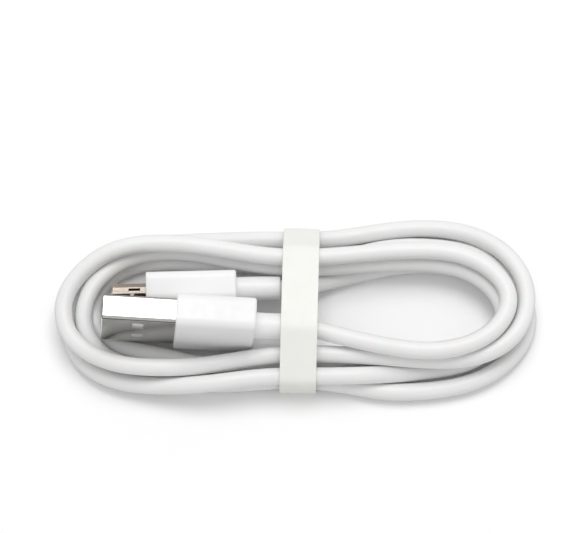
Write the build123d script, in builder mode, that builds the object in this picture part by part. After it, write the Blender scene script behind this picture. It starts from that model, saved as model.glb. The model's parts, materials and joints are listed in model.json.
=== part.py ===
"""Phone charging cable, USB-A to micro-USB B, wound in a flat long coil and held by one strap.

Millimetres, +Z up. The origin lies on the table under the middle of the strap. The long axis of
the coil is X: both plugs point to -X, and both cable tails leave the strap towards +X. Seen from
above the cable runs anticlockwise, from the USB-A plug through five right-hand bends and four
left-hand bends to the micro-USB plug.
"""

from build123d import *

import math
import os

import numpy as np

# ---- cable -------------------------------------------------------------------------------
CABLE_R = 1.5
BORE_R = 1.1
WIRE_R = 0.36
WIRE_RING_R = 0.55  # the four wires lie on this circle inside the jacket
WIRE_LAY = 60.0  # length of one full twist of the wires
JACKET_SECTIONS, WIRE_SECTIONS = 90, 60  # each long sweep follows a chain of this many sections
STACK = 3.05  # height of one layer of cable lying on another
GAP = 3.2  # distance that settling works towards between two cable centrelines
TABLE_CLEARANCE = 0.08  # keeps the settled strands just above the table
PLUG_GAP = 0.5  # clearance that settling works towards between the cable and the USB-A plug

# ---- strap -------------------------------------------------------------------------------
STRAP_WIDTH = 6.2
STRAP_WALL = 0.36
STRAP_CLEARANCE = 0.15
STRAP_LIFT = STRAP_WALL + STRAP_CLEARANCE  # the strap runs under the coil and lifts it
STRAP_LEAN_DEG = -1.6  # seen from above, the near side lies towards -X
STRAP_ZONE = 5.0  # the strands run straight within this distance of the strap's middle
STRAP_SLIDE = 1.0  # how far the strap can be pushed each way along the coil

# ---- coil: where each bend begins, and each strand's place in the strap ---------------------
RIGHT = 22.0
LEFT = -24.0

# A place across the coil is (y, layer); layer 0 lies on the table, layer 1 lies on layer 0.
# Each right-hand bend: near side, tip x, tip, far side. Listed from the USB-A end.
RIGHT_BENDS = [
    ((-10.5, 2), 35.9, (-1.3, 2), (8.1, 2)),
    ((-11.05, 1), 38.3, (0.9, 0.9), (14.1, 0)),
    ((-11.6, 0), 35.15, (-3.2, 0.92), (6.97, 1)),
    ((-14.65, 0), 39.4, (-2.1, 0), (11.05, 0)),
    ((-8.4, 0), 35.8, (-2.0, 0), (7.8, 0)),
]
# Each left-hand bend: far side, tip x, tip, near side.
LEFT_BENDS = [
    ((9.2, 2), -40.4, (-2.2, 1), (-12.7, 1.45)),
    ((11.45, 0), -39.1, (-0.6, 0), (-13.2, 0.4)),
    ((9.05, 1), -36.4, (-1.65, 1), (-11.35, 0)),
    ((8.4, 0), -35.9, (-0.6, 0), (-8.3, 0)),
]
# Each strand's place in the strap, and one place between the strap and the left-hand bend.
FAR_STRANDS = [
    ((6.85, 2), (-13, 8.2, 2)),
    ((12.1, 0), (-15, 12.0, 0)),
    ((6.02, 1), (-13, 7.7, 1)),
    ((7.5, 0), (-13, 7.8, 0)),
]
NEAR_STRANDS = [
    ((-10.2, 0.95), (-16, -11.9, 1)),
    ((-13.7, 1), (-16, -14.2, 1)),
    ((-13.4, 0), (-16, -13.5, 0)),
    ((-10.3, 0), (-16, -10.3, 0)),
]

# ---- where each plug bends: the flex point in the middle of its strain relief ----------------
USB_A_FLEX = (-5.4, -5.75, 7.85)
USB_A_PITCH_DEG = 3.5
USB_A_YAW_DEG = 2.4
USB_A_ROLL_DEG = -1.0
MICRO_FLEX = (-7.0, 1.97, 5.6)
MICRO_PITCH_DEG = 0.0
MICRO_YAW_DEG = -1.5
MICRO_ROLL_DEG = -10.0
FLEX_GAP = 0.06  # half the gap at the flex point, on the axis
FLEX_CONE_DEG = 17.0  # the groove at the flex point opens by this angle on each side

# ---- shared by both plugs ----------------------------------------------------------------
FIT = 0.02  # clearance between pieces that are moulded or pressed together
RELIEF_CLEARANCE = 0.1
RELIEF_RIM = 0.15
BOOT_BACK_R, BOOT_RIM_R = 0.45, 0.25
CAN_WALL = 0.2
FERRULE_R = 1.8
STUB_BACK = 0.9  # where the jacket inside the plug begins, clear of the coil's end as the plug tilts

# ---- USB-A plug: lengths are measured from the flex point towards the tip --------------------
A_BOOT_BACK, A_BOOT_FRONT, A_TIP = 2.4, 16.0, 28.5
A_BOOT_W, A_BOOT_T, A_BOOT_R = 14.2, 6.1, 1.5
A_SHELL_W, A_SHELL_T, A_SHELL_R, A_SHELL_WALL = 12.0, 4.5, 0.65, 0.3
A_SHELL_BACK = 9.5
A_WINDOW_W, A_WINDOW_L, A_WINDOW_X, A_WINDOW_BACK = 2.5, 2.0, 2.85, 6.16
A_BASE = (12.5, 16.5)
A_TONGUE_W, A_TONGUE_TIP, A_TONGUE_FACE = 10.8, 27.9, 0.06
A_CONTACT_W, A_CONTACT_T, A_CONTACT_BACK = 1.0, 0.2, 9.9
A_CONTACTS = [(-3.5, 27.4), (-1.0, 26.4), (1.0, 26.4), (3.5, 27.4)]  # place, tip
A_MOULD, A_MOULD_ENDS = (13.0, 5.1, 1.0), (4.4, 15.4)
A_CAN, A_CAN_ENDS, A_FERRULE_BACK = (11.0, 4.1, 0.6), (4.8, 9.4), 3.2
A_STUB_END = 6.0
A_RELIEF_R = 2.3
A_RELIEF_TAIL = 5.2

# ---- micro-USB plug ----------------------------------------------------------------------
M_BOOT_BACK, M_BOOT_FRONT, M_TIP = 3.9, 19.4, 25.1
M_BOOT_W, M_BOOT_T, M_BOOT_R = 10.5, 5.3, 1.3
M_SHELL_W, M_SHELL_T, M_SHELL_CUT, M_SHELL_WALL = 6.85, 1.8, 0.75, 0.22
M_SHELL_BACK = 13.5
M_SLOT_Y, M_SLOT_Z, M_SLOT_T, M_SLOT_L = -0.36, 21.4, 0.62, 2.0
M_BASE = (13.9, 16.5)
M_TONGUE_W, M_TONGUE_TIP, M_TONGUE_FACE = 4.6, 24.6, 0.02
M_CONTACT_W, M_CONTACT_T, M_CONTACT_PITCH = 0.4, 0.12, 0.65
M_CONTACT_BACK, M_CONTACT_TIP = 13.1, 24.2
M_LATCH_X, M_LATCH_W, M_LATCH_T, M_LATCH_Y = 2.74, 0.5, 0.18, -0.42
M_LATCH_ROOT, M_LATCH_TIP = 14.6, 23.2
M_POCKET_CLEARANCE = 0.15  # the base has a pocket round each latch's root
M_HOOK_Z, M_HOOK_L, M_HOOK_OUT = 22.0, 1.0, 0.3
M_MOULD, M_MOULD_ENDS = (9.0, 4.3, 0.9), (7.4, 18.6)
M_CAN, M_CAN_ENDS, M_FERRULE_BACK = (6.0, 3.64, 0.5), (8.0, 13.4), 6.2
M_STUB_END = 9.0
M_RELIEF_R = 2.05
M_RELIEF_TAIL = 3.6


# ---- the coil's centreline -----------------------------------------------------------------
def place(x, y, layer, lift=0.0):
    return (x, y, CABLE_R + STACK * layer + lift)


def bend(shoulder, start, tip_x, tip, end):
    """Two quarter ellipses that meet at the tip, each given by its two ends and its middle."""
    half = math.cos(math.radians(45))

    def middle(side):
        y = tip[0] + (side[0] - tip[0]) * half
        return place(shoulder + (tip_x - shoulder) * half, y, (tip[1] + side[1]) / 2)

    return [place(shoulder, *start), middle(start), place(tip_x, *tip), middle(end),
            place(shoulder, *end)]


def through_strap(strand, heading):
    return [place(x, *strand, STRAP_LIFT) for x in (-STRAP_ZONE * heading, STRAP_ZONE * heading)]


def stations():
    """Points the cable is led through, before it settles."""
    points = [USB_A_FLEX, (-2.7, -5.82, 7.81), (0, -5.9, 7.77), (6, -7.2, 7.6)]
    for turn, (near, tip_x, tip, far) in enumerate(RIGHT_BENDS):
        points += bend(RIGHT, near, tip_x, tip, far)
        if turn == len(LEFT_BENDS):
            break
        if turn == 3:
            points.append(place(12, 10.1, 0))
        strand, on_the_way = FAR_STRANDS[turn]
        points += through_strap(strand, -1) + [place(*on_the_way)]
        far_side, left_x, left_tip, near_side = LEFT_BENDS[turn]
        points += bend(LEFT, far_side, left_x, left_tip, near_side)
        strand, on_the_way = NEAR_STRANDS[turn]
        points += [place(*on_the_way)] + through_strap(strand, 1)
        if turn == 1:
            points.append(place(12, -13.2, 0.9))
    points += [(3.5, 4.1, 2.4), (-2.6, 2.0, 5.45), (-4.8, 1.97, 5.6)]
    return points + [MICRO_FLEX]


def centreline(points):
    """A smooth curve through points, straight at both ends."""
    route = [Vector(*point) for point in points]
    ends = [route[1] - route[0], route[-1] - route[-2]]
    return Spline(*route, tangents=ends, tangent_scalars=(1, 1))


def evenly_spaced(curve, step, samples=8000):
    """Points along a curve, one every step or a little more."""
    ratios = np.linspace(0, 1, samples)
    fine = np.array([tuple(curve.position_at(t, PositionMode.PARAMETER)) for t in ratios])
    along = np.concatenate([[0], np.cumsum(np.linalg.norm(np.diff(fine, axis=0), axis=1))])
    places = np.linspace(0, along[-1], int(along[-1] / step) + 1)
    return np.column_stack([np.interp(places, along, fine[:, k]) for k in range(3)])


def push_off_plug(points, plane):
    """How far each point must move for the cable to lie clear of the USB-A plug's boot and shell."""
    axes = np.array([tuple(plane.x_dir), tuple(plane.y_dir), tuple(plane.z_dir)])
    local = (points - np.array(tuple(plane.origin))) @ axes.T
    push = np.zeros_like(local)
    for width, thickness, corner, back, front in (
        (A_BOOT_W, A_BOOT_T, A_BOOT_R, A_BOOT_BACK, A_BOOT_FRONT),
        (A_SHELL_W, A_SHELL_T, A_SHELL_R, A_BOOT_FRONT, A_TIP),
    ):
        half_w, half_t = width / 2 - corner, thickness / 2 - corner
        low, high = (-half_w, -half_t, back + corner / 2), (half_w, half_t, front - corner / 2)
        offset = local - np.clip(local, low, high)
        distance = np.linalg.norm(offset, axis=1)
        missing = np.clip(corner + CABLE_R + PLUG_GAP - distance, 0, None)
        push += offset * (missing / distance)[:, None]
    return push @ axes


def settled_route(step=1.0, rounds=220, keep_every=6, same_strand=14, held_ends=4):
    """Pushes strands that touch apart until they lie side by side, and returns the centreline.

    The cable is a chain of points. Any two points of different strands that are closer than GAP
    move apart, and so does the cable from the USB-A plug, which lies among the strands. The
    movement is spread along the chain, and nothing sinks below the table.
    """
    plug = plug_plane(USB_A_FLEX, USB_A_PITCH_DEG, USB_A_YAW_DEG, USB_A_ROLL_DEG)
    start = evenly_spaced(centreline(stations()), step)
    count = len(start) - 1
    index = np.arange(count + 1)
    neighbours = np.abs(index[:, None] - index[None, :]) < same_strand
    from_end = np.minimum(index, index[::-1])
    freedom = np.clip((from_end - held_ends) / (2 * held_ends), 0, 1)[:, None]
    under_strap = np.clip((2 * STRAP_ZONE - np.abs(start[:, 0])) / STRAP_ZONE, 0, 1)
    lowest = CABLE_R + TABLE_CLEARANCE + (STRAP_LIFT - TABLE_CLEARANCE) * under_strap
    shift = np.zeros_like(start)
    for _ in range(rounds):
        now = start + shift
        apart = now[:, None, :] - now[None, :, :]
        distance = np.sqrt((apart**2).sum(axis=2))
        distance[neighbours] = GAP
        overlap = np.clip(GAP - distance, 0, None)
        push = (apart / distance[:, :, None] * overlap[:, :, None]).sum(axis=1)
        touching = np.maximum((overlap > 0).sum(axis=1), 1)[:, None]
        shift += 0.5 * push / touching + push_off_plug(now, plug)
        shift[1:-1] = 0.25 * shift[:-2] + 0.5 * shift[1:-1] + 0.25 * shift[2:]
        shift[:, 2] += np.clip(lowest - (start + shift)[:, 2], 0, None)
        shift *= freedom
    inner = np.linspace(6, count - 6, round((count - 12) / keep_every) + 1).astype(int)
    kept = [0, 3, *inner, count - 3, count]
    return (start + shift)[kept]


def parallel_frames(route):
    """Two directions across the route at each point, carried along it without twist."""
    tangent = np.gradient(route, axis=0)
    tangent /= np.linalg.norm(tangent, axis=1)[:, None]
    across = np.cross(tangent[0], (0, 0, 1))
    frames = []
    for direction in tangent:
        across = across - direction * across.dot(direction)
        across /= np.linalg.norm(across)
        frames.append((across, np.cross(direction, across)))
    return frames


def wire_route(route, quarter):
    """The route of one of the four wires, which twist round the cable's centreline."""
    length = np.concatenate([[0], np.cumsum(np.linalg.norm(np.diff(route, axis=0), axis=1))])
    points = []
    for point, (across, up), along in zip(route, parallel_frames(route), length):
        angle = 2 * math.pi * (along / WIRE_LAY + quarter / 4)
        points.append(point + WIRE_RING_R * (math.cos(angle) * across + math.sin(angle) * up))
    return np.array(points)


# ---- tubes along a route -------------------------------------------------------------------
def long_rod(route, radius, sections):
    """A round rod along a route, swept over a chain of sections of one curve."""
    curve = centreline(route)
    line = Wire([curve.trim(i / sections, (i + 1) / sections) for i in range(sections)])
    with BuildPart() as rod:
        with BuildSketch(Plane(origin=line @ 0, z_dir=line % 0)):
            Circle(radius)
        sweep(path=line)
    return rod.part


def long_tube(route, radius, bore):
    """A hollow round tube: an outer and an inner rod's walls, closed by two rings."""
    outside, inside = (long_rod(route, r, JACKET_SECTIONS) for r in (radius, bore))
    outer_ends = outside.faces().filter_by(GeomType.PLANE)
    inner_ends = inside.faces().filter_by(GeomType.PLANE)
    walls = [f for f in outside.faces() if f not in outer_ends]
    walls += [f for f in inside.faces() if f not in inner_ends]
    rings = []
    for end in outer_ends:
        hole = inner_ends.sort_by_distance(end.center())[0]
        rings.append(Face(end.outer_wire(), [hole.outer_wire()]))
    return Solid(Shell(walls + rings))


def save(part, name):
    part.label = name
    export_step(part, f"parts/{name}.step")


# ---- plug frames: z runs from the flex point to the plug's tip, x across its width --------------
def plug_plane(flex, pitch_deg, yaw_deg, roll_deg):
    pitch, yaw = math.radians(pitch_deg), math.radians(yaw_deg)
    axis = Vector(-math.cos(pitch) * math.cos(yaw), math.sin(yaw), math.sin(pitch))
    upright = Vector(0, 0, 1) - axis * axis.Z
    width = upright.rotate(Axis((0, 0, 0), axis), roll_deg)
    return Plane(origin=flex, x_dir=width, z_dir=axis)


def spot(plane, x, y, z):
    return plane.location * Pos(x, y, z)


def rim(part, plane, end):
    """The outer edges of a part's end face: end 0 is the back, end -1 is the tip."""
    ends = part.faces().filter_by(GeomType.PLANE).sort_by(Axis(plane.origin, plane.z_dir))
    return ends[end].outer_wire().edges()


def relief_sleeve(plane, radius, length):
    """Half of a strain relief: a sleeve that ends at the flex point in a shallow cone."""
    slope = math.tan(math.radians(FLEX_CONE_DEG))
    bore = CABLE_R + RELIEF_CLEARANCE
    side = Plane(origin=plane.origin, x_dir=plane.x_dir, z_dir=-plane.y_dir)
    with BuildPart() as sleeve:
        with BuildSketch(side):
            with BuildLine():
                Polyline(
                    (bore, FLEX_GAP + bore * slope),
                    (radius, FLEX_GAP + radius * slope),
                    (radius, length),
                    (bore, length),
                    close=True,
                )
            make_face()
        revolve(axis=Axis(plane.origin, plane.z_dir))
    return sleeve.part


def relief_tail(flex, direction, radius, length):
    """The half of a strain relief that stays with the coil, with a soft rim at its end."""
    tail_plane = Plane(origin=flex, z_dir=direction)
    with BuildPart() as tail:
        add(relief_sleeve(tail_plane, radius, length))
        fillet(rim(tail, tail_plane, -1), RELIEF_RIM)
    return tail.part


def boot(plane, back, front, outer, cavity, cavity_ends, opening, relief_r, ferrule_r):
    """A moulded boot: hollow, open at the front, with the front half of its strain relief."""
    with BuildPart() as body:
        with BuildSketch(plane.offset(back)):
            RectangleRounded(*outer)
        extrude(amount=front - back)
        fillet(rim(body, plane, 0), BOOT_BACK_R)
        fillet(rim(body, plane, -1), BOOT_RIM_R)
        add(relief_sleeve(plane, relief_r, back + 1))
        with BuildSketch(plane.offset(cavity_ends[0])):
            RectangleRounded(*cavity)
        extrude(amount=cavity_ends[1] - cavity_ends[0], mode=Mode.SUBTRACT)
        with BuildSketch(plane.offset(cavity_ends[1])):
            add(opening)
        extrude(amount=front - cavity_ends[1], mode=Mode.SUBTRACT)
        with BuildSketch(plane.offset(back - 1)):
            Circle(CABLE_R + RELIEF_CLEARANCE)
        extrude(amount=cavity_ends[0] - back + 1, mode=Mode.SUBTRACT)
        with BuildSketch(plane.offset(back + 0.6)):
            Circle(ferrule_r)
        extrude(amount=cavity_ends[0] - back - 0.6, mode=Mode.SUBTRACT)
    return body.part


def crimp_can(plane, size, ends, ferrule_back):
    """A steel can over the soldered joints, with a ferrule that grips the cable's jacket."""
    width, thickness, corner = size
    inner = (width - 2 * CAN_WALL, thickness - 2 * CAN_WALL, corner - CAN_WALL)
    with BuildPart() as can:
        with BuildSketch(plane.offset(ends[0])):
            RectangleRounded(*size)
        extrude(amount=ends[1] - ends[0])
        with BuildSketch(plane.offset(ends[0] + CAN_WALL)):
            RectangleRounded(*inner)
        extrude(amount=ends[1] - ends[0] - CAN_WALL, mode=Mode.SUBTRACT)
        with BuildSketch(plane.offset(ferrule_back)):
            Circle(FERRULE_R)
        extrude(amount=ends[0] - ferrule_back)
        with BuildSketch(plane.offset(ferrule_back)):
            Circle(CABLE_R + 0.05)
        extrude(amount=ends[0] + CAN_WALL - ferrule_back, mode=Mode.SUBTRACT)
    return can.part


def inner_mould(plane, size, ends, can_size, can_ends, shell_hole):
    """The hard inner moulding that locks the shell and the can, under the soft boot."""
    with BuildPart() as block:
        with BuildSketch(plane.offset(ends[0])):
            RectangleRounded(*size)
        extrude(amount=ends[1] - ends[0])
        with BuildSketch(plane.offset(can_ends[0])):
            RectangleRounded(*can_size)
        extrude(amount=can_ends[1] - can_ends[0], mode=Mode.SUBTRACT)
        with BuildSketch(plane.offset(can_ends[1])):
            add(shell_hole)
        extrude(amount=ends[1] - can_ends[1], mode=Mode.SUBTRACT)
        with BuildSketch(plane.offset(ends[0])):
            Circle(FERRULE_R + FIT)
        extrude(amount=can_ends[0] - ends[0], mode=Mode.SUBTRACT)
    return block.part


def cable_end(plane, length):
    """The stripped end of the jacket inside a plug."""
    with BuildPart() as stub:
        with BuildSketch(plane.offset(STUB_BACK)):
            Circle(CABLE_R)
            Circle(BORE_R, mode=Mode.SUBTRACT)
        extrude(amount=length - STUB_BACK)
    return stub.part


def wire_tails(plane, stub_end, wire_end, landings):
    """The four wires from the end of the jacket to the contacts."""
    ring = WIRE_RING_R * math.sqrt(0.5)
    starts = [(-ring, -ring), (-ring, ring), (ring, ring), (ring, -ring)]
    with BuildPart() as tails:
        for (x, y), (end_x, end_y) in zip(starts, landings):
            with BuildLine(plane) as path:
                straight = Line((x, y, STUB_BACK), (x, y, stub_end))
                fan = Spline(
                    straight @ 1,
                    (end_x, end_y, wire_end - 0.5),
                    tangents=[(0, 0, 1), (0, 0, 1)],
                )
                Line(fan @ 1, (end_x, end_y, wire_end))
            with BuildSketch(Plane(origin=path.line @ 0, z_dir=plane.z_dir)):
                Circle(WIRE_R)
            sweep(path=path.line)
    return tails.part


# ---- USB-A plug --------------------------------------------------------------------------
def usb_a_shell(plane):
    hole_w, hole_t = A_SHELL_W - 2 * A_SHELL_WALL, A_SHELL_T - 2 * A_SHELL_WALL
    with BuildPart() as shell:
        with BuildSketch(plane.offset(A_SHELL_BACK)):
            RectangleRounded(A_SHELL_W, A_SHELL_T, A_SHELL_R)
            RectangleRounded(hole_w, hole_t, A_SHELL_R - A_SHELL_WALL, mode=Mode.SUBTRACT)
        extrude(amount=A_TIP - A_SHELL_BACK)
        chamfer(rim(shell, plane, -1), A_SHELL_WALL / 3)
        for side in (-1, 1):
            with Locations(spot(plane, side * A_WINDOW_X, 0, A_TIP - A_WINDOW_BACK)):
                Box(A_WINDOW_W, 2 * A_SHELL_T, A_WINDOW_L, mode=Mode.SUBTRACT)
    return shell.part


def usb_a_insulator(plane):
    inner_w, inner_t = A_SHELL_W - 2 * A_SHELL_WALL - 2 * FIT, A_SHELL_T - 2 * A_SHELL_WALL - 2 * FIT
    tongue_t = inner_t / 2 - A_TONGUE_FACE
    with BuildPart() as block:
        with BuildSketch(plane.offset(A_BASE[0])):
            RectangleRounded(inner_w, inner_t, A_SHELL_R - A_SHELL_WALL)
        extrude(amount=A_BASE[1] - A_BASE[0])
        with BuildSketch(plane.offset(A_BASE[1])):
            with Locations((0, -A_TONGUE_FACE - tongue_t / 2)):
                Rectangle(A_TONGUE_W, tongue_t)
        extrude(amount=A_TONGUE_TIP - A_BASE[1])
        for x, tip in A_CONTACTS:
            length = tip + FIT - A_BASE[0]
            with Locations(spot(plane, x, -A_TONGUE_FACE - A_CONTACT_T / 2, A_BASE[0] + length / 2)):
                Box(A_CONTACT_W + 2 * FIT, A_CONTACT_T + 2 * FIT, length, mode=Mode.SUBTRACT)
    return block.part


def usb_a_contacts(plane):
    with BuildPart() as contacts:
        for x, tip in A_CONTACTS:
            length = tip - A_CONTACT_BACK
            centre = A_CONTACT_BACK + length / 2
            with Locations(spot(plane, x, -A_TONGUE_FACE - A_CONTACT_T / 2, centre)):
                Box(A_CONTACT_W, A_CONTACT_T, length)
    return contacts.part


def usb_a_plug(plane):
    boot_cavity = (A_MOULD[0] + 2 * FIT, A_MOULD[1] + 2 * FIT, A_MOULD[2])
    with BuildSketch() as shell_hole:
        RectangleRounded(A_SHELL_W + 2 * FIT, A_SHELL_T + 2 * FIT, A_SHELL_R)
    landings = [(x, WIRE_R + FIT - A_TONGUE_FACE) for x in sorted(x for x, _ in A_CONTACTS)]
    can_hole = (A_CAN[0] + 2 * FIT, A_CAN[1] + 2 * FIT, A_CAN[2])
    save(usb_a_shell(plane), "usb_a_shell")
    save(usb_a_insulator(plane), "usb_a_insulator")
    save(usb_a_contacts(plane), "usb_a_contacts")
    save(crimp_can(plane, A_CAN, A_CAN_ENDS, A_FERRULE_BACK), "usb_a_crimp_can")
    save(
        inner_mould(
            plane, A_MOULD, A_MOULD_ENDS, can_hole, (A_CAN_ENDS[0] - FIT, A_SHELL_BACK - FIT),
            shell_hole.sketch,
        ),
        "usb_a_inner_mould",
    )
    save(
        boot(
            plane, A_BOOT_BACK, A_BOOT_FRONT, (A_BOOT_W, A_BOOT_T, A_BOOT_R), boot_cavity,
            (A_MOULD_ENDS[0] - FIT, A_MOULD_ENDS[1] + FIT), shell_hole.sketch, A_RELIEF_R,
            FERRULE_R + FIT,
        ),
        "usb_a_boot",
    )
    save(cable_end(plane, A_STUB_END), "usb_a_cable_end")
    save(wire_tails(plane, A_STUB_END + 0.2, A_CONTACT_BACK + 0.4, landings), "usb_a_wire_tails")


# ---- micro-USB B plug ----------------------------------------------------------------------
def micro_outline(grow):
    """The shell's section: a flat box with both corners of its +y side cut off."""
    half_w, half_t = M_SHELL_W / 2 + grow, M_SHELL_T / 2 + grow
    cut = M_SHELL_CUT + grow * (2 - math.sqrt(2))
    with BuildSketch() as outline:
        with BuildLine():
            Polyline(
                (-half_w, -half_t), (half_w, -half_t), (half_w, half_t - cut),
                (half_w - cut, half_t), (cut - half_w, half_t), (-half_w, half_t - cut),
                close=True,
            )
        make_face()
    return outline.sketch


def micro_shell(plane):
    with BuildPart() as shell:
        with BuildSketch(plane.offset(M_SHELL_BACK)):
            add(micro_outline(0))
            add(micro_outline(-M_SHELL_WALL), mode=Mode.SUBTRACT)
        extrude(amount=M_TIP - M_SHELL_BACK)
        with Locations(spot(plane, 0, M_SLOT_Y, M_SLOT_Z)):
            Box(2 * M_SHELL_W, M_SLOT_T, M_SLOT_L, mode=Mode.SUBTRACT)
        for side in (-1, 1):
            with Locations(spot(plane, side * M_LATCH_X, -M_SHELL_T / 2, M_HOOK_Z)):
                Box(M_LATCH_W + 0.16, M_SHELL_T / 2, M_HOOK_L + 0.4, mode=Mode.SUBTRACT)
    return shell.part


def micro_insulator(plane):
    inner_t = M_SHELL_T - 2 * M_SHELL_WALL - 2 * FIT
    tongue_t = inner_t / 2 - M_TONGUE_FACE
    with BuildPart() as block:
        with BuildSketch(plane.offset(M_BASE[0])):
            add(micro_outline(-M_SHELL_WALL - FIT))
        extrude(amount=M_BASE[1] - M_BASE[0])
        pocket_front = M_LATCH_Y + M_POCKET_CLEARANCE
        for side in (-1, 1):
            middle = pocket_front - inner_t / 2
            with Locations(spot(plane, side * M_LATCH_X, middle, M_BASE[1])):
                Box(M_LATCH_W + 0.1, inner_t, 2 * (M_BASE[1] - M_LATCH_ROOT + 0.1), mode=Mode.SUBTRACT)
        with BuildSketch(plane.offset(M_BASE[1])):
            with Locations((0, M_TONGUE_FACE + tongue_t / 2)):
                Rectangle(M_TONGUE_W, tongue_t)
        extrude(amount=M_TONGUE_TIP - M_BASE[1])
        for number in range(5):
            length = M_CONTACT_TIP + FIT - M_BASE[0]
            x = (number - 2) * M_CONTACT_PITCH
            with Locations(spot(plane, x, M_TONGUE_FACE + M_CONTACT_T / 2, M_BASE[0] + length / 2)):
                Box(M_CONTACT_W + 2 * FIT, M_CONTACT_T + 2 * FIT, length, mode=Mode.SUBTRACT)
    return block.part


def micro_contacts(plane):
    length = M_CONTACT_TIP - M_CONTACT_BACK
    with BuildPart() as contacts:
        for number in range(5):
            x = (number - 2) * M_CONTACT_PITCH
            centre = M_CONTACT_BACK + length / 2
            with Locations(spot(plane, x, M_TONGUE_FACE + M_CONTACT_T / 2, centre)):
                Box(M_CONTACT_W, M_CONTACT_T, length)
    return contacts.part


def micro_latch(plane, side):
    """A leaf spring beside the tongue, with a hook that stands out of the shell's wide face."""
    arm_y = M_LATCH_Y
    side_view = Plane(origin=plane.origin, x_dir=plane.z_dir, z_dir=plane.x_dir)
    with BuildPart() as latch:
        with BuildSketch(side_view.offset(side * M_LATCH_X - M_LATCH_W / 2)):
            with BuildLine():
                Polyline(
                    (M_LATCH_ROOT, -arm_y), (M_LATCH_TIP, -arm_y),
                    (M_LATCH_TIP, -arm_y + M_LATCH_T),
                    (M_HOOK_Z + M_HOOK_L / 2, -arm_y + M_LATCH_T),
                    (M_HOOK_Z, M_SHELL_T / 2 + M_HOOK_OUT),
                    (M_HOOK_Z - M_HOOK_L / 2, M_SHELL_T / 2 + M_HOOK_OUT),
                    (M_HOOK_Z - M_HOOK_L / 2, -arm_y + M_LATCH_T),
                    (M_LATCH_ROOT, -arm_y + M_LATCH_T),
                    close=True,
                )
            make_face()
        extrude(amount=M_LATCH_W)
    return latch.part


def micro_plug(plane):
    boot_cavity = (M_MOULD[0] + 2 * FIT, M_MOULD[1] + 2 * FIT, M_MOULD[2])
    can_hole = (M_CAN[0] + 2 * FIT, M_CAN[1] + 2 * FIT, M_CAN[2])
    shell_hole = micro_outline(FIT)
    outer_x, inner_x = 2 * M_CONTACT_PITCH, M_CONTACT_PITCH
    landings = [(-outer_x, -0.45), (-inner_x, 0.45), (inner_x, 0.45), (outer_x, -0.45)]
    save(micro_shell(plane), "micro_shell")
    save(micro_insulator(plane), "micro_insulator")
    save(micro_contacts(plane), "micro_contacts")
    save(micro_latch(plane, 1), "micro_latch_upper")
    save(micro_latch(plane, -1), "micro_latch_lower")
    save(crimp_can(plane, M_CAN, M_CAN_ENDS, M_FERRULE_BACK), "micro_crimp_can")
    save(
        inner_mould(
            plane, M_MOULD, M_MOULD_ENDS, can_hole, (M_CAN_ENDS[0] - FIT, M_SHELL_BACK - FIT),
            shell_hole,
        ),
        "micro_inner_mould",
    )
    save(
        boot(
            plane, M_BOOT_BACK, M_BOOT_FRONT, (M_BOOT_W, M_BOOT_T, M_BOOT_R), boot_cavity,
            (M_MOULD_ENDS[0] - FIT, M_MOULD_ENDS[1] + FIT), shell_hole, M_RELIEF_R,
            FERRULE_R + FIT,
        ),
        "micro_boot",
    )
    save(cable_end(plane, M_STUB_END), "micro_cable_end")
    save(wire_tails(plane, M_STUB_END + 0.2, M_CONTACT_BACK - 0.1, landings), "micro_wire_tails")


# ---- strap ---------------------------------------------------------------------------------
def strands_in_strap(route):
    """For each strand under the strap: (y, z) of its middle, and how far it strays from it."""
    reach = STRAP_WIDTH / 2 + STRAP_SLIDE
    curve = centreline(route)
    samples = np.array([tuple(curve.position_at(i / 3000)) for i in range(3001)])
    inside = np.abs(samples[:, 0]) <= reach
    starts = np.flatnonzero(np.diff(inside.astype(int))) + 1
    for run in np.split(samples, starts):
        if abs(run[0, 0]) <= reach:
            middle = (run[:, 1:].min(axis=0) + run[:, 1:].max(axis=0)) / 2
            yield middle, np.linalg.norm(run[:, 1:] - middle, axis=1).max()


def strap(route):
    """A flat band pulled round the bundle: the hull of its strands, grown by the clearance."""
    lean = math.radians(STRAP_LEAN_DEG)
    across = Plane(
        origin=(0, 0, 0),
        x_dir=(-math.sin(lean), math.cos(lean), 0),
        z_dir=(math.cos(lean), math.sin(lean), 0),
    )
    strands = list(strands_in_strap(route))
    radii = [A_RELIEF_R] + [CABLE_R] * (len(strands) - 1)
    outer_corner = STRAP_CLEARANCE + STRAP_WALL
    with BuildPart() as band:
        for grow, mode in ((outer_corner, Mode.ADD), (STRAP_CLEARANCE, Mode.SUBTRACT)):
            with BuildSketch(across.offset(-STRAP_WIDTH / 2)):
                with BuildLine():
                    for (middle, stray), radius in zip(strands[:-1], radii):
                        CenterArc(tuple(middle), radius + stray + grow, 0, 360)
                make_hull()
            extrude(amount=STRAP_WIDTH, mode=mode)
        split(bisect_by=Plane.XY, keep=Keep.TOP)
    return band.part


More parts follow.
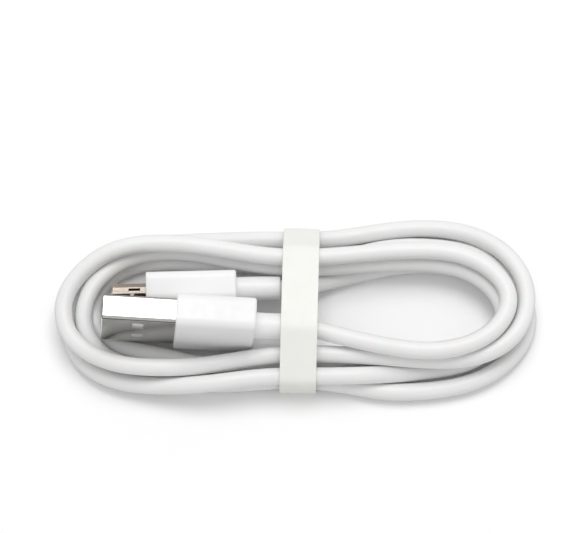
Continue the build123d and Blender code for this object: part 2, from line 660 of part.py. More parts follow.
# ---- the whole cable -----------------------------------------------------------------------
def main():
    os.makedirs("parts", exist_ok=True)
    route = settled_route()
    save(long_tube(route, CABLE_R, BORE_R), "cable_jacket")
    for quarter, colour in enumerate(("red", "white", "green", "black")):
        save(long_rod(wire_route(route, quarter), WIRE_R, WIRE_SECTIONS), f"{colour}_wire")
    save(strap(route), "strap")
    usb_a = plug_plane(USB_A_FLEX, USB_A_PITCH_DEG, USB_A_YAW_DEG, USB_A_ROLL_DEG)
    micro = plug_plane(MICRO_FLEX, MICRO_PITCH_DEG, MICRO_YAW_DEG, MICRO_ROLL_DEG)
    usb_a_heading, micro_heading = route[1] - route[0], route[-2] - route[-1]
    save(
        relief_tail(USB_A_FLEX, Vector(*usb_a_heading), A_RELIEF_R, A_RELIEF_TAIL),
        "usb_a_strain_relief",
    )
    save(
        relief_tail(MICRO_FLEX, Vector(*micro_heading), M_RELIEF_R, M_RELIEF_TAIL),
        "micro_strain_relief",
    )
    usb_a_plug(usb_a)
    micro_plug(micro)


main()
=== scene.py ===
"""A white phone charging cable, coiled and strapped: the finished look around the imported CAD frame.

Metres, in the frame's own axes. The cable, the boots, the strain reliefs and the strap are rebuilt
here as smooth meshes from the shapes of their CAD nodes. The metal shells, latches, contacts and
everything inside the plugs are the CAD nodes themselves, with finished materials.
"""

import json
import math

import bpy
import numpy as np
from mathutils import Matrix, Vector
from mathutils.bvhtree import BVHTree


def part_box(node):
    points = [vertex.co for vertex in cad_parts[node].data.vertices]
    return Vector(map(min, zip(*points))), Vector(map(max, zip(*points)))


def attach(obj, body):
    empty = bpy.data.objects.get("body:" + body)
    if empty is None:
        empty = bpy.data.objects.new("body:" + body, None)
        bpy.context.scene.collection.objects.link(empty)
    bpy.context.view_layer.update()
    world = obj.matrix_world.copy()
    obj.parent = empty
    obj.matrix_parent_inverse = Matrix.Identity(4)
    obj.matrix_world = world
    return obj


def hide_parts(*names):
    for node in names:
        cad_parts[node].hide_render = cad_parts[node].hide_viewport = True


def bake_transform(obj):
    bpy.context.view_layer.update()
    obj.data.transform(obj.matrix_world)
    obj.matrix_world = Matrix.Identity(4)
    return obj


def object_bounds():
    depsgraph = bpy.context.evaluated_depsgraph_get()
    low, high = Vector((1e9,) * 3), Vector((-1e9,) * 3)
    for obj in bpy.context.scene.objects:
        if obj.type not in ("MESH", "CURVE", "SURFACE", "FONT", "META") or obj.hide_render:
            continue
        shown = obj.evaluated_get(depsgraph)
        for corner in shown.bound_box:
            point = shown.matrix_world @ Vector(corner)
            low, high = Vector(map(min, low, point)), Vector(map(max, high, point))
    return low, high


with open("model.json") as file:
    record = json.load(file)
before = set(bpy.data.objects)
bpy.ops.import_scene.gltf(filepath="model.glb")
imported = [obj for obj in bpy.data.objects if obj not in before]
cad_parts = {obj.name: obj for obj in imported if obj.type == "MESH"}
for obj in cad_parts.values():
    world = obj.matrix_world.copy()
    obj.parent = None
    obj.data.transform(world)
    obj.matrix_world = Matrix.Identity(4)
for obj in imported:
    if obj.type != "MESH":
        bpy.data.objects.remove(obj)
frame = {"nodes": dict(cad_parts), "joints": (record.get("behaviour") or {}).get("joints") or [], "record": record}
CAD_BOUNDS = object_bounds()

MM = 0.001
JOINTS = {joint["name"]: joint for joint in frame["joints"]}
MOUNTS = {mount["name"]: mount for mount in frame["record"]["mounts"]}

# ---- cable and strain reliefs ------------------------------------------------------------------
CABLE_SEGMENTS = 36
CABLE_STEP = 0.55 * MM
CABLE_R = 1.5 * MM
BORE_SPOKES = 16  # rays that find the middle of the cable's bore
ROUTE_SOFTENING = 6  # rounds of smoothing, which take out the CAD mesh's facets
SLEEVE_SEGMENTS = 64
SLEEVE_RINGS = 40
SLEEVE_BORE = 1.6 * MM
SLEEVE_RIM_R = 0.15 * MM  # the round of its outer rim, at the cable's side
SLEEVE_MOUTH_R = 0.12 * MM  # the round where its bore comes out on that end
SLEEVE_IN_STEP = 0.2 * MM  # from that end to the bore's first straight ring
SLEEVE_IN_BOOT = 1.1 * MM  # how far the sleeve reaches into the boot
TANGENT_STEP = 0.01 * MM

# ---- boots -------------------------------------------------------------------------------------
BOOT_BACK_R, BOOT_FRONT_R = 0.45 * MM, 0.28 * MM
BOOT_CORNER = 0.25  # corner radius, as a share of the boot's thickness
CORNER_SHRINK = 0.6  # how much a corner's radius gives for each length of inset
BOOT_STEPS = 14
RELIEF_LIMIT = 2.6 * MM  # further than this from a plug's axis, a boot's vertex isn't its relief's
BACK_FACE_RING = 0.85  # size of the ring inside the back face's edge
SHELL_REACH = 20 * MM  # longer than the way from a plug's axis to outside its shell
POCKET_DEPTH = 3.0 * MM  # the pocket round the metal shell
POCKET_GAP = 0.04 * MM
POCKET_LIP = 0.1 * MM
CORNER_STEPS = 9
SIDE_STEPS = 7

# ---- strap -------------------------------------------------------------------------------------
STRAP_SAMPLES = 420
STRAP_RAYS = 4 * STRAP_SAMPLES
STRAP_REACH = 60 * MM  # longer than the way from the strap's middle to its outside
STRAP_CROWN = 0.05 * MM
STRAP_EDGE_R = 0.16 * MM
STRAP_STEPS, STRAP_EDGE_STEPS = 15, 7  # points across each face, and round each edge
STRAP_THINNING = 0.7  # the band's wall, as a share of its CAD wall, so that it slides clear
STRAP_SOFTENING = 6  # rounds of smoothing, which soften its folds by less than its clearance

# ---- finish ------------------------------------------------------------------------------------
SHARP_DEG = 28  # a CAD node's edges that turn by more than this stay crisp
NOISE_LOW, NOISE_HIGH = 0.35, 0.65  # most of a noise texture's values lie between these
GRAIN_STRETCH = 0.04  # how much a pattern is drawn out along the grain of rolled sheet
CORNER_HIGHLIGHT_WIDTH = 0.45 * MM  # the stretch of painted highlight beside each of two edges of the micro shell

# ---- view and light --------------------------------------------------------------------------
ELEVATION_DEG = 70.0
LENS_MM = 300.0
SENSOR_MM = 36.0
VIEW_WIDTH = 99.8 * MM
AIM = Vector((-1.8, 6.2, 5.0)) * MM
FLOOR_SIZE = 4.0
FLOOR_WHITE, FLOOR_PAINTED_REFLECTION = (0.93, 0.93, 0.93), (0.15, 0.145, 0.135)
SKY_STRENGTH = 0.7
LAMP_PLACE, LAMP_SIZE, LAMP_WATTS = (0.03, 0.26, 0.75), 0.5, 2.9


# ---- reading shapes from the CAD nodes -------------------------------------------------------
def vertices(node):
    """All vertices of a CAD node as rows of an array."""
    mesh = frame["nodes"][node].data
    points = np.empty(len(mesh.vertices) * 3)
    mesh.vertices.foreach_get("co", points)
    return points.reshape(-1, 3)


def surface(node):
    """A CAD node's surface, for casting rays at."""
    faces = [tuple(face.vertices) for face in frame["nodes"][node].data.polygons]
    return BVHTree.FromPolygons([Vector(point) for point in vertices(node)], faces)


def spokes(direction, count):
    """Unit vectors all round a direction."""
    across = direction.orthogonal().normalized()
    other = direction.cross(across).normalized()
    turns = [2 * math.pi * i / count for i in range(count)]
    return [across * math.cos(turn) + other * math.sin(turn) for turn in turns]


def bore_centre(tree, point, direction):
    """The middle of the cable's bore in the plane through point."""
    for _ in range(2):
        hits = [tree.ray_cast(point, spoke)[0] for spoke in spokes(direction, BORE_SPOKES)]
        if None in hits:
            return None
        middle = sum(hits, Vector()) / len(hits)
        point = point + 2 * (middle - point)
    return point


def cable_route():
    """The cable's centreline, followed through its bore from the USB-A end to the micro end."""
    start = Vector(JOINTS["usb_a_flex"]["pos_m"])
    end = Vector(JOINTS["micro_flex"]["pos_m"])
    low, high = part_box("usb_a_strain_relief")
    tree = surface("cable_jacket")
    heading = ((low + high) / 2 - start).normalized()
    route = [start, start + heading * CABLE_STEP]
    while (end - route[-1]).length > CABLE_STEP:
        heading = (route[-1] - route[-2]).normalized()
        ahead = bore_centre(tree, route[-1] + heading * CABLE_STEP, heading)
        if ahead is None:
            break
        route.append(ahead)
    route.append(end)
    points = np.array(route)
    for _ in range(ROUTE_SOFTENING):
        points[1:-1] = 0.25 * points[:-2] + 0.5 * points[1:-1] + 0.25 * points[2:]
    return points


class Plug:
    """A plug's own axes: along points to its tip, wide runs across its wide face."""

    def __init__(self, name):
        nose = MOUNTS[name + "_plug_nose"]
        self.name = name
        self.body = name + "_plug"
        self.flex = Vector(JOINTS[name + "_flex"]["pos_m"])
        self.along = Vector(nose["axis"]).normalized()
        shell = vertices(name + "_shell")
        shell = shell - shell.mean(axis=0)
        shell = shell - np.outer(shell @ np.array(self.along), self.along)
        self.wide = Vector(np.linalg.eigh(shell.T @ shell)[1][:, -1])
        if self.wide.z < 0:
            self.wide.negate()
        self.thick = self.along.cross(self.wide)

    def at(self, wide, thick, along):
        return self.flex + self.wide * wide + self.thick * thick + self.along * along

    def local(self, node):
        """A CAD node's vertices as (wide, thick, along)."""
        axes = np.array([self.wide, self.thick, self.along])
        return (vertices(node) - np.array(self.flex)) @ axes.T


# ---- building meshes ---------------------------------------------------------------------------
def piece_from_grid(name, grid, closed=False, capped=True):
    """A mesh over rows of points; each row is a closed ring, and closed also joins last to first."""
    rows, count = len(grid), len(grid[0])
    faces = []
    for row in range(rows if closed else rows - 1):
        here, there = row * count, (row + 1) % rows * count
        for i in range(count):
            j = (i + 1) % count
            faces.append((here + i, here + j, there + j, there + i))
    if capped and not closed:
        faces.append(tuple(reversed(range(count))))
        faces.append(tuple(range((rows - 1) * count, rows * count)))
    mesh = bpy.data.meshes.new(name)
    mesh.from_pydata([tuple(point) for ring in grid for point in ring], [], faces)
    mesh.polygons.foreach_set("use_smooth", [True] * len(mesh.polygons))
    mesh.validate()
    piece = bpy.data.objects.new(name, mesh)
    bpy.context.scene.collection.objects.link(piece)
    return piece


def keep_flats_flat(piece, sharp_deg=50):
    piece.data.set_sharp_from_angle(angle=math.radians(sharp_deg))
    weighted = piece.modifiers.new("flat_faces", "WEIGHTED_NORMAL")
    weighted.keep_sharp = True
    weighted.weight = 80


def store_skin(piece, skin):
    """Keeps, for each vertex, its place on the straightened surface, for patterns that follow it."""
    attribute = piece.data.attributes.new("skin", "FLOAT_VECTOR", "POINT")
    attribute.data.foreach_set("vector", np.array(skin, np.float32).ravel())


def transported_frames(points):
    """Two directions across a line at each of its points, carried along without twist."""
    tangents = np.gradient(points, axis=0)
    tangents /= np.linalg.norm(tangents, axis=1)[:, None]
    across = np.cross(tangents[0], (0, 0, 1))
    frames = []
    for tangent in tangents:
        across = across - tangent * across.dot(tangent)
        across /= np.linalg.norm(across)
        frames.append((across, np.cross(tangent, across)))
    return frames


def lengths_along(points):
    steps = np.linalg.norm(np.diff(points, axis=0), axis=1)
    return np.concatenate([[0], np.cumsum(steps)])


def cable_piece():
    route = cable_route()
    turns = 2 * math.pi * np.arange(CABLE_SEGMENTS) / CABLE_SEGMENTS
    grid, skin = [], []
    for point, (across, up), length in zip(route, transported_frames(route), lengths_along(route)):
        ring = np.outer(np.cos(turns), across) + np.outer(np.sin(turns), up)
        grid.append(point + CABLE_R * ring)
        for turn in turns:
            skin.append((CABLE_R * math.cos(turn), CABLE_R * math.sin(turn), length))
    piece = piece_from_grid("cable", grid)
    store_skin(piece, skin)
    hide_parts("cable_jacket")
    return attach(piece, "coil")


def quarter_turn(steps):
    """Pairs (cosine, sine) of angles from 0 to 90 degrees, both included."""
    return [(math.cos(turn), math.sin(turn)) for turn in np.linspace(0, math.pi / 2, steps)]


def sleeve_profile(inner_end, reach, radius):
    """The sleeve's section as (place, distance from its centreline), once round its wall."""
    outer = [(place, radius) for place in np.linspace(-inner_end, reach - SLEEVE_RIM_R, SLEEVE_RINGS)]
    rim = [
        (reach - SLEEVE_RIM_R * (1 - sine), radius - SLEEVE_RIM_R * (1 - cosine))
        for cosine, sine in quarter_turn(7)[1:]
    ]
    mouth = [
        (reach - SLEEVE_MOUTH_R * (1 - cosine), SLEEVE_BORE + SLEEVE_MOUTH_R * (1 - sine))
        for cosine, sine in quarter_turn(5)
    ]
    first = reach - SLEEVE_IN_STEP
    inner = [(place, SLEEVE_BORE) for place in np.linspace(first, -inner_end, SLEEVE_RINGS)]
    return outer + rim + mouth + inner


def sleeve_piece(plug, boot_back):
    """The strain relief as one soft sleeve, from inside the boot to its end on the cable."""
    node = plug.name + "_strain_relief"
    low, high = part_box(node)
    heading = np.array(((low + high) / 2 - plug.flex).normalized())
    flex, along = np.array(plug.flex), np.array(plug.along)
    offsets = vertices(node) - flex
    reach = (offsets @ heading).max()
    radius = np.linalg.norm(offsets - np.outer(offsets @ heading, heading), axis=1).max()

    def middle(place):
        """The sleeve's centreline: place is the distance past the flex point, towards the cable."""
        share = np.clip((place + boot_back) / (2 * boot_back), 0, 1)
        share = share * share * (3 - 2 * share)
        return flex + place * ((1 - share) * -along + share * heading)

    turns = 2 * math.pi * np.arange(SLEEVE_SEGMENTS) / SLEEVE_SEGMENTS
    grid, skin = [], []
    for place, distance in sleeve_profile(boot_back + SLEEVE_IN_BOOT, reach, radius):
        tangent = middle(place + TANGENT_STEP) - middle(place - TANGENT_STEP)
        tangent /= np.linalg.norm(tangent)
        side = np.cross(tangent, (0, 0, 1))
        side /= np.linalg.norm(side)
        up = np.cross(side, tangent)
        ring = np.outer(np.cos(turns), side) + np.outer(np.sin(turns), up)
        grid.append(middle(place) + distance * ring)
        for turn in turns:
            skin.append((distance * math.cos(turn), distance * math.sin(turn), place))
    piece = piece_from_grid(node + "_sleeve", grid, closed=True)
    store_skin(piece, skin)
    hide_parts(node)
    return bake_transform(piece)


def rounded_outline(width, thickness, corner):
    """Points round a rounded rectangle, with the straight sides divided too."""
    half_w, half_t = width / 2 - corner, thickness / 2 - corner
    centres = [(half_w, half_t), (-half_w, half_t), (-half_w, -half_t), (half_w, -half_t)]
    points = []
    for quarter, (x, y) in enumerate(centres):
        for step in range(CORNER_STEPS + 1):
            turn = math.pi / 2 * (quarter + step / CORNER_STEPS)
            points.append((x + corner * math.cos(turn), y + corner * math.sin(turn)))
        next_x, next_y = centres[(quarter + 1) % 4]
        side = math.pi / 2 * (quarter + 1)
        last = points[-1]
        first = (next_x + corner * math.cos(side), next_y + corner * math.sin(side))
        for step in range(1, SIDE_STEPS):
            share = step / SIDE_STEPS
            points.append(tuple(a + (b - a) * share for a, b in zip(last, first)))
    return np.array(points)


def shell_outline(plug, outline, place):
    """The metal shell's outside at one place along the plug, in the directions of outline."""
    tree = surface(plug.name + "_shell")
    centre = plug.at(0, 0, place)
    hole = []
    for x, y in outline:
        direction = (plug.wide * x + plug.thick * y).normalized()
        hit = tree.ray_cast(centre + direction * SHELL_REACH, -direction)[0]
        offset = hit - centre + direction * POCKET_GAP
        hole.append((offset.dot(plug.wide), offset.dot(plug.thick)))
    return np.array(hole)


def boot_rings(back, front):
    """The boot's outside as (place along the plug, inset), from its back edge to its front rim."""
    rings = [
        (back + BOOT_BACK_R * (1 - cosine), BOOT_BACK_R * (1 - sine))
        for cosine, sine in quarter_turn(8)
    ]
    side = np.linspace(back + BOOT_BACK_R, front - BOOT_FRONT_R, BOOT_STEPS)[1:-1]
    rings += [(place, 0.0) for place in side]
    rings += [
        (front - BOOT_FRONT_R * (1 - sine), BOOT_FRONT_R * (1 - cosine))
        for cosine, sine in quarter_turn(6)
    ]
    return rings


def boot_piece(plug):
    """The moulded boot: soft back edges, a crisp front rim, and a pocket that the shell leaves by."""
    node = plug.name + "_boot"
    wide, thick, along = plug.local(node).T
    front = along.max()
    back = along[np.hypot(wide, thick) > RELIEF_LIMIT].min()
    width, thickness = wide.max() - wide.min(), thick.max() - thick.min()
    corner = BOOT_CORNER * thickness

    def outline(inset):
        rounding = corner - CORNER_SHRINK * inset
        return rounded_outline(width - 2 * inset, thickness - 2 * inset, rounding)

    grid = [
        [plug.at(x, y, place) for x, y in outline(inset)] for place, inset in boot_rings(back, front)
    ]
    hole = shell_outline(plug, outline(0), front + 1 * MM)
    rim = outline(BOOT_FRONT_R)
    for share in (0.25, 0.6, 0.92):
        grid.append([plug.at(x, y, front) for x, y in rim + share * (hole - rim)])
    lip = POCKET_LIP
    for drop, widen in ((0, 0.4 * lip), (0.4 * lip, 0.1 * lip), (lip, 0), (POCKET_DEPTH, 0)):
        ring = hole * (1 + widen / np.linalg.norm(hole, axis=1))[:, None]
        grid.append([plug.at(x, y, front - drop) for x, y in ring])
    first = np.array([tuple(point) for point in grid[0]])
    centre = first.mean(axis=0)
    grid.insert(0, [Vector(centre + BACK_FACE_RING * (point - centre)) for point in first])
    piece = piece_from_grid(node + "_moulding", grid)
    keep_flats_flat(piece)
    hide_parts(node)
    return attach(piece, plug.body), back


def strap_loops(hub, round_y):
    """The strap's inside and outside, each as an evenly divided loop, and each place's length."""
    tree = surface("strap")
    inner, outer = [], []
    for turn in np.linspace(0, 2 * math.pi, STRAP_RAYS, endpoint=False):
        ray = round_y * math.cos(turn) + Vector((0, 0, 1)) * math.sin(turn)
        inner.append(tree.ray_cast(hub, ray)[0])
        outer.append(tree.ray_cast(hub + ray * STRAP_REACH, -ray)[0])
    inner, outer = (np.array([*loop, loop[0]]) for loop in (inner, outer))
    length = lengths_along(outer)
    even = np.linspace(0, length[-1], STRAP_SAMPLES, endpoint=False)
    inner, outer = (
        np.array([np.interp(even, length, loop[:, axis]) for axis in range(3)]).T
        for loop in (inner, outer)
    )
    for _ in range(STRAP_SOFTENING):
        inner = 0.25 * np.roll(inner, 1, axis=0) + 0.5 * inner + 0.25 * np.roll(inner, -1, axis=0)
        outer = 0.25 * np.roll(outer, 1, axis=0) + 0.5 * outer + 0.25 * np.roll(outer, -1, axis=0)
    return inner, outer, even


def strap_section(half_width):
    """The band's section, once round: (place across, share of the wall, share of the crown)."""
    flat = half_width - STRAP_EDGE_R
    shares = np.linspace(-1, 1, STRAP_STEPS)
    edge = [
        (flat + STRAP_EDGE_R * math.sin(turn), 0.5 + 0.5 * math.cos(turn))
        for turn in np.linspace(0, math.pi, STRAP_EDGE_STEPS + 2)[1:-1]
    ]
    section = [(flat * share, 1.0, 1 - share * share) for share in shares]
    section += [(side, share, 0) for side, share in edge]
    section += [(-flat * share, 0.0, 0) for share in shares]
    section += [(-side, share, 0) for side, share in reversed(edge)]
    return section


def strap_piece():
    """The strap as one soft-edged, slightly crowned band round the bundle."""
    points = vertices("strap")
    low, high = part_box("strap")
    slope = np.polyfit(points[:, 1], points[:, 0], 1)[0]
    across = Vector((1, -slope, 0)).normalized()
    round_y = Vector((slope, 1, 0)).normalized()
    middle = (low + high) / 2
    offsets = (points - np.array(middle)) @ np.array(across)
    hub = middle + across * (offsets.max() + offsets.min()) / 2
    inner, outer, even = strap_loops(hub, round_y)
    tangent = np.roll(outer, -1, axis=0) - np.roll(outer, 1, axis=0)
    normal = np.cross(tangent, np.array(across))
    normal /= np.linalg.norm(normal, axis=1)[:, None]
    wall = STRAP_THINNING * np.abs(((outer - inner) * normal).sum(axis=1))
    normal *= np.sign(((outer - np.array(hub)) * normal).sum(axis=1))[:, None]
    section = strap_section((offsets.max() - offsets.min()) / 2)
    grid, skin = [], []
    for outside, out, thickness, length in zip(outer, normal, wall, even):
        ring = []
        crown_here = STRAP_CROWN * (1 - np.clip(-out[2], 0, 1))
        for side, share, crown in section:
            lift = (share - 1) * thickness - (1 - crown) * share * crown_here
            ring.append(outside + np.array(across) * side + out * lift)
            skin.append((side, thickness * share, length))
        grid.append(ring)
    piece = piece_from_grid("strap_band", grid, closed=True)
    store_skin(piece, skin)
    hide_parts("strap")
    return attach(piece, "strap")


# ---- materials -----------------------------------------------------------------------------
class Look:
    """A node material, built up from a Principled shader."""

    def __init__(self, name, color, roughness, metallic=0.0, **settings):
        self.material = bpy.data.materials.new(name)
        self.material.use_nodes = True
        self.nodes = self.material.node_tree.nodes
        self.links = self.material.node_tree.links
        self.shader = self.nodes["Principled BSDF"]
        self.color = color
        self.roughness = roughness
        self.set("Base Color", (*color, 1))
        self.set("Roughness", roughness)
        self.set("Metallic", metallic)
        for key, value in settings.items():
            self.set(key.replace("_", " "), value)
        self.height = None

    def set(self, socket, value):
        self.shader.inputs[socket].default_value = value

    def place(self, follows_skin, stretch=(1, 1, 1)):
        """Coordinates for a pattern: in the row frame, or on the straightened surface."""
        if follows_skin:
            source = self.nodes.new("ShaderNodeAttribute")
            source.attribute_name = "skin"
            output = source.outputs["Vector"]
        else:
            source = self.nodes.new("ShaderNodeTexCoord")
            output = source.outputs["Object"]
        mapping = self.nodes.new("ShaderNodeMapping")
        mapping.inputs["Scale"].default_value = stretch
        self.links.new(output, mapping.inputs["Vector"])
        return mapping.outputs["Vector"]

    def noise(self, size, detail=3.0, follows_skin=False, stretch=(1, 1, 1)):
        """Noise whose features are about size across."""
        texture = self.nodes.new("ShaderNodeTexNoise")
        texture.inputs["Scale"].default_value = 1 / size
        texture.inputs["Detail"].default_value = detail
        self.links.new(self.place(follows_skin, stretch), texture.inputs["Vector"])
        return texture.outputs["Fac"]

    def spread(self, value, low, high):
        """Maps a noise value to a range."""
        node = self.nodes.new("ShaderNodeMapRange")
        node.inputs["From Min"].default_value = NOISE_LOW
        node.inputs["From Max"].default_value = NOISE_HIGH
        node.inputs["To Min"].default_value = low
        node.inputs["To Max"].default_value = high
        self.links.new(value, node.inputs["Value"])
        return node.outputs["Result"]

    def vary_color(self, value, other):
        self.mix_in(self.spread(value, 0, 1), self.color, other)

    def vary_roughness(self, value, amount):
        spread = self.spread(value, self.roughness - amount, self.roughness + amount)
        self.links.new(spread, self.shader.inputs["Roughness"])

    def bump(self, value, depth, strength=1.0):
        """Adds relief; depth is in metres between the pattern's low and high places."""
        node = self.nodes.new("ShaderNodeBump")
        node.inputs["Distance"].default_value = depth
        node.inputs["Strength"].default_value = strength
        self.links.new(value, node.inputs["Height"])
        if self.height is not None:
            self.links.new(self.height, node.inputs["Normal"])
        self.height = node.outputs["Normal"]
        self.links.new(self.height, self.shader.inputs["Normal"])

    def mix_in(self, share, color, other):
        """The base colour's node: color, which may be another node's output, fading to other."""
        mix = self.nodes.new("ShaderNodeMix")
        mix.data_type = "RGBA"
        if isinstance(color, tuple):
            mix.inputs["A"].default_value = (*color, 1)
        else:
            self.links.new(color, mix.inputs["A"])
        mix.inputs["B"].default_value = (*other, 1)
        self.links.new(share, mix.inputs["Factor"])
        self.links.new(mix.outputs["Result"], self.shader.inputs["Base Color"])

    def calculate(self, operation, value, other=0.0):
        node = self.nodes.new("ShaderNodeMath")
        node.operation = operation
        node.inputs[1].default_value = other
        self.links.new(value, node.inputs[0])
        return node.outputs["Value"]

    def paint_corner_highlight(self, plug, node, color):
        """Painted highlight: fades to another colour in the last stretch towards two opposite corners of a shell.
        """
        diagonal = (plug.wide + plug.thick).normalized()
        half_width = np.abs((vertices(node) - np.array(plug.flex)) @ np.array(diagonal)).max()
        across = self.nodes.new("ShaderNodeVectorMath")
        across.operation = "DOT_PRODUCT"
        across.inputs[1].default_value = diagonal
        self.links.new(self.place(False), across.inputs[0])
        offset = self.calculate("SUBTRACT", across.outputs["Value"], plug.flex.dot(diagonal))
        share = self.nodes.new("ShaderNodeMapRange")
        share.inputs["From Min"].default_value = half_width - CORNER_HIGHLIGHT_WIDTH
        share.inputs["From Max"].default_value = half_width - CORNER_HIGHLIGHT_WIDTH / 2
        self.links.new(self.calculate("ABSOLUTE", offset), share.inputs["Value"])
        plain = self.shader.inputs["Base Color"].links[0].from_socket
        self.mix_in(share.outputs["Result"], plain, color)

    def darken_in_reflections(self, color):
        """Painted reflection: shows another colour to glossy rays, as a dark card beside the object would."""
        rays = self.nodes.new("ShaderNodeLightPath")
        self.mix_in(rays.outputs["Is Glossy Ray"], self.color, color)


def cable_look():
    look = Look("cable_white", (0.81, 0.81, 0.81), 0.42, Subsurface_Weight=0.12,
                Subsurface_Scale=0.6 * MM, Specular_IOR_Level=0.42)
    look.vary_color(look.noise(9 * MM, follows_skin=True), (0.79, 0.79, 0.785))
    look.vary_roughness(look.noise(1.2 * MM, follows_skin=True), 0.05)
    look.bump(look.noise(0.35 * MM, follows_skin=True, stretch=(1, 1, 0.06)), 0.006 * MM)
    look.bump(look.noise(0.12 * MM, follows_skin=True), 0.003 * MM)
    return look.material


def moulded_look():
    look = Look("moulded_white", (0.835, 0.835, 0.838), 0.43, Specular_IOR_Level=0.5)
    look.vary_color(look.noise(7 * MM), (0.815, 0.815, 0.815))
    look.vary_roughness(look.noise(1.5 * MM, detail=1), 0.05)
    look.bump(look.noise(2.5 * MM, detail=1), 0.008 * MM)
    return look.material


def strap_look():
    look = Look("strap_cream", (0.835, 0.835, 0.8), 0.5, Subsurface_Weight=0.1,
                Subsurface_Scale=0.5 * MM, Specular_IOR_Level=0.35)
    look.vary_color(look.noise(4 * MM, follows_skin=True), (0.815, 0.815, 0.775))
    look.vary_roughness(look.noise(0.5 * MM, follows_skin=True), 0.07)
    look.bump(look.noise(0.3 * MM, follows_skin=True, stretch=(1, 1, 0.12)), 0.008 * MM)
    look.bump(look.noise(0.09 * MM, follows_skin=True), 0.004 * MM)
    return look.material


def steel_look(name, color, roughness, grain_axis):
    """Rolled and plated sheet: fine lines along the plug, with a soft cloudy sheen. Returns a Look."""
    look = Look(name, color, roughness, metallic=1.0)
    stretch = tuple(GRAIN_STRETCH if abs(part) > 0.7 else 1.0 for part in grain_axis)
    look.vary_color(look.noise(3 * MM), tuple(0.93 * part for part in color))
    look.vary_roughness(look.noise(0.25 * MM, stretch=stretch), 0.07)
    look.bump(look.noise(0.07 * MM, stretch=stretch), 0.0015 * MM)
    look.bump(look.noise(4 * MM, detail=1), 0.02 * MM)
    return look


def micro_shell_look(plug):
    """Warm, dull plated sheet, with a painted highlight along two opposite corners of the shell."""
    look = steel_look("warm_steel", (0.46, 0.4, 0.345), 0.24, tuple(plug.along))
    # painted highlight: the shell's colour lightens towards two opposite corners
    look.paint_corner_highlight(plug, "micro_shell", (0.86, 0.83, 0.78))
    return look.material


def plain_look(name, color, roughness, metallic=0.0):
    look = Look(name, color, roughness, metallic=metallic)
    look.vary_color(look.noise(1.5 * MM), tuple(0.9 * part for part in color))
    look.vary_roughness(look.noise(0.4 * MM), 0.06)
    look.bump(look.noise(0.1 * MM), 0.003 * MM)
    return look.material


def paint(piece, material):
    piece.data.materials.clear()
    piece.data.materials.append(material)


def finish_cad_nodes(looks):
    """Gives every CAD node its material, and soft or crisp edges by their angle."""
    slots = {part["node"]: part["material_slot"] for part in frame["record"]["subparts"]}
    for name, node in frame["nodes"].items():
        paint(node, looks[slots[name]])
        node.data.polygons.foreach_set("use_smooth", [True] * len(node.data.polygons))
        node.data.set_sharp_from_angle(angle=math.radians(SHARP_DEG))


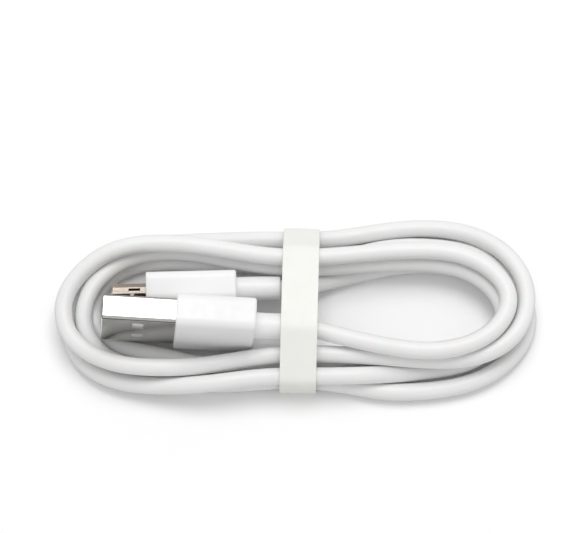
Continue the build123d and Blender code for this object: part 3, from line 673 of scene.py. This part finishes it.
def build_object():
    plugs = {name: Plug(name) for name in ("usb_a", "micro")}
    along = tuple(plugs["usb_a"].along)
    looks = {
        "cable_white": cable_look(),
        "moulded_white": moulded_look(),
        "strap_cream": strap_look(),
        "bright_steel": steel_look("bright_steel", (0.62, 0.615, 0.59), 0.17, along).material,
        "warm_steel": micro_shell_look(plugs["micro"]),
        "can_steel": steel_look("can_steel", (0.6, 0.6, 0.6), 0.35, along).material,
        "gold_contacts": plain_look("gold_contacts", (0.95, 0.72, 0.34), 0.22, metallic=1.0),
        "insulator_white": plain_look("insulator_white", (0.8, 0.8, 0.79), 0.45),
        "insulator_black": plain_look("insulator_black", (0.02, 0.02, 0.022), 0.4),
        "inner_plastic": plain_look("inner_plastic", (0.75, 0.74, 0.7), 0.5),
        "wire_red": plain_look("wire_red", (0.6, 0.03, 0.025), 0.35),
        "wire_white": plain_look("wire_white", (0.8, 0.8, 0.8), 0.35),
        "wire_green": plain_look("wire_green", (0.03, 0.35, 0.08), 0.35),
        "wire_black": plain_look("wire_black", (0.02, 0.02, 0.02), 0.35),
    }
    finish_cad_nodes(looks)
    made = [(cable_piece(), "cable_white"), (strap_piece(), "strap_cream")]
    for plug in plugs.values():
        boot, boot_back = boot_piece(plug)
        made += [(boot, "moulded_white"), (sleeve_piece(plug, boot_back), "moulded_white")]
    for piece, slot in made:
        paint(piece, looks[slot])


# ---- stage ----------------------------------------------------------------------------------
def floor():
    half, height = FLOOR_SIZE / 2, CAD_BOUNDS[0][2]
    corners = [(-half, -half, height), (half, -half, height), (half, half, height), (-half, half, height)]
    mesh = bpy.data.meshes.new("floor")
    mesh.from_pydata(corners, [], [(0, 1, 2, 3)])
    plane = bpy.data.objects.new("floor", mesh)
    bpy.context.scene.collection.objects.link(plane)
    look = Look("floor_white", FLOOR_WHITE, 0.9, Specular_IOR_Level=0.0)
    # painted reflection: the floor looks dark only in reflections, which darkens the steel faces that mirror it
    look.darken_in_reflections(FLOOR_PAINTED_REFLECTION)
    paint(plane, look.material)


def area_light(name, place, size, energy):
    lamp = bpy.data.lights.new(name, "AREA")
    lamp.shape = "DISK"
    lamp.size = size
    lamp.energy = energy
    light = bpy.data.objects.new(name, lamp)
    light.location = place
    light.rotation_euler = (AIM - Vector(place)).to_track_quat("-Z", "Y").to_euler()
    bpy.context.scene.collection.objects.link(light)


def studio():
    world = bpy.data.worlds.new("studio")
    world.use_nodes = True
    background = world.node_tree.nodes["Background"]
    background.inputs["Color"].default_value = (1, 1, 1, 1)
    background.inputs["Strength"].default_value = SKY_STRENGTH
    bpy.context.scene.world = world
    area_light("overhead", LAMP_PLACE, LAMP_SIZE, LAMP_WATTS)
    scene = bpy.context.scene
    scene.view_settings.view_transform = "Standard"
    scene.view_settings.look = "None"


def camera():
    lens = bpy.data.cameras.new("camera")
    lens.lens = LENS_MM
    lens.sensor_width = SENSOR_MM
    lens.clip_start = 0.01
    tilt = math.radians(ELEVATION_DEG)
    distance = VIEW_WIDTH * LENS_MM / SENSOR_MM
    eye = bpy.data.objects.new("camera", lens)
    eye.location = AIM + distance * Vector((0, -math.cos(tilt), math.sin(tilt)))
    eye.rotation_euler = (math.pi / 2 - tilt, 0, 0)
    bpy.context.scene.collection.objects.link(eye)
    bpy.context.scene.camera = eye


build_object()
floor()
studio()
camera()
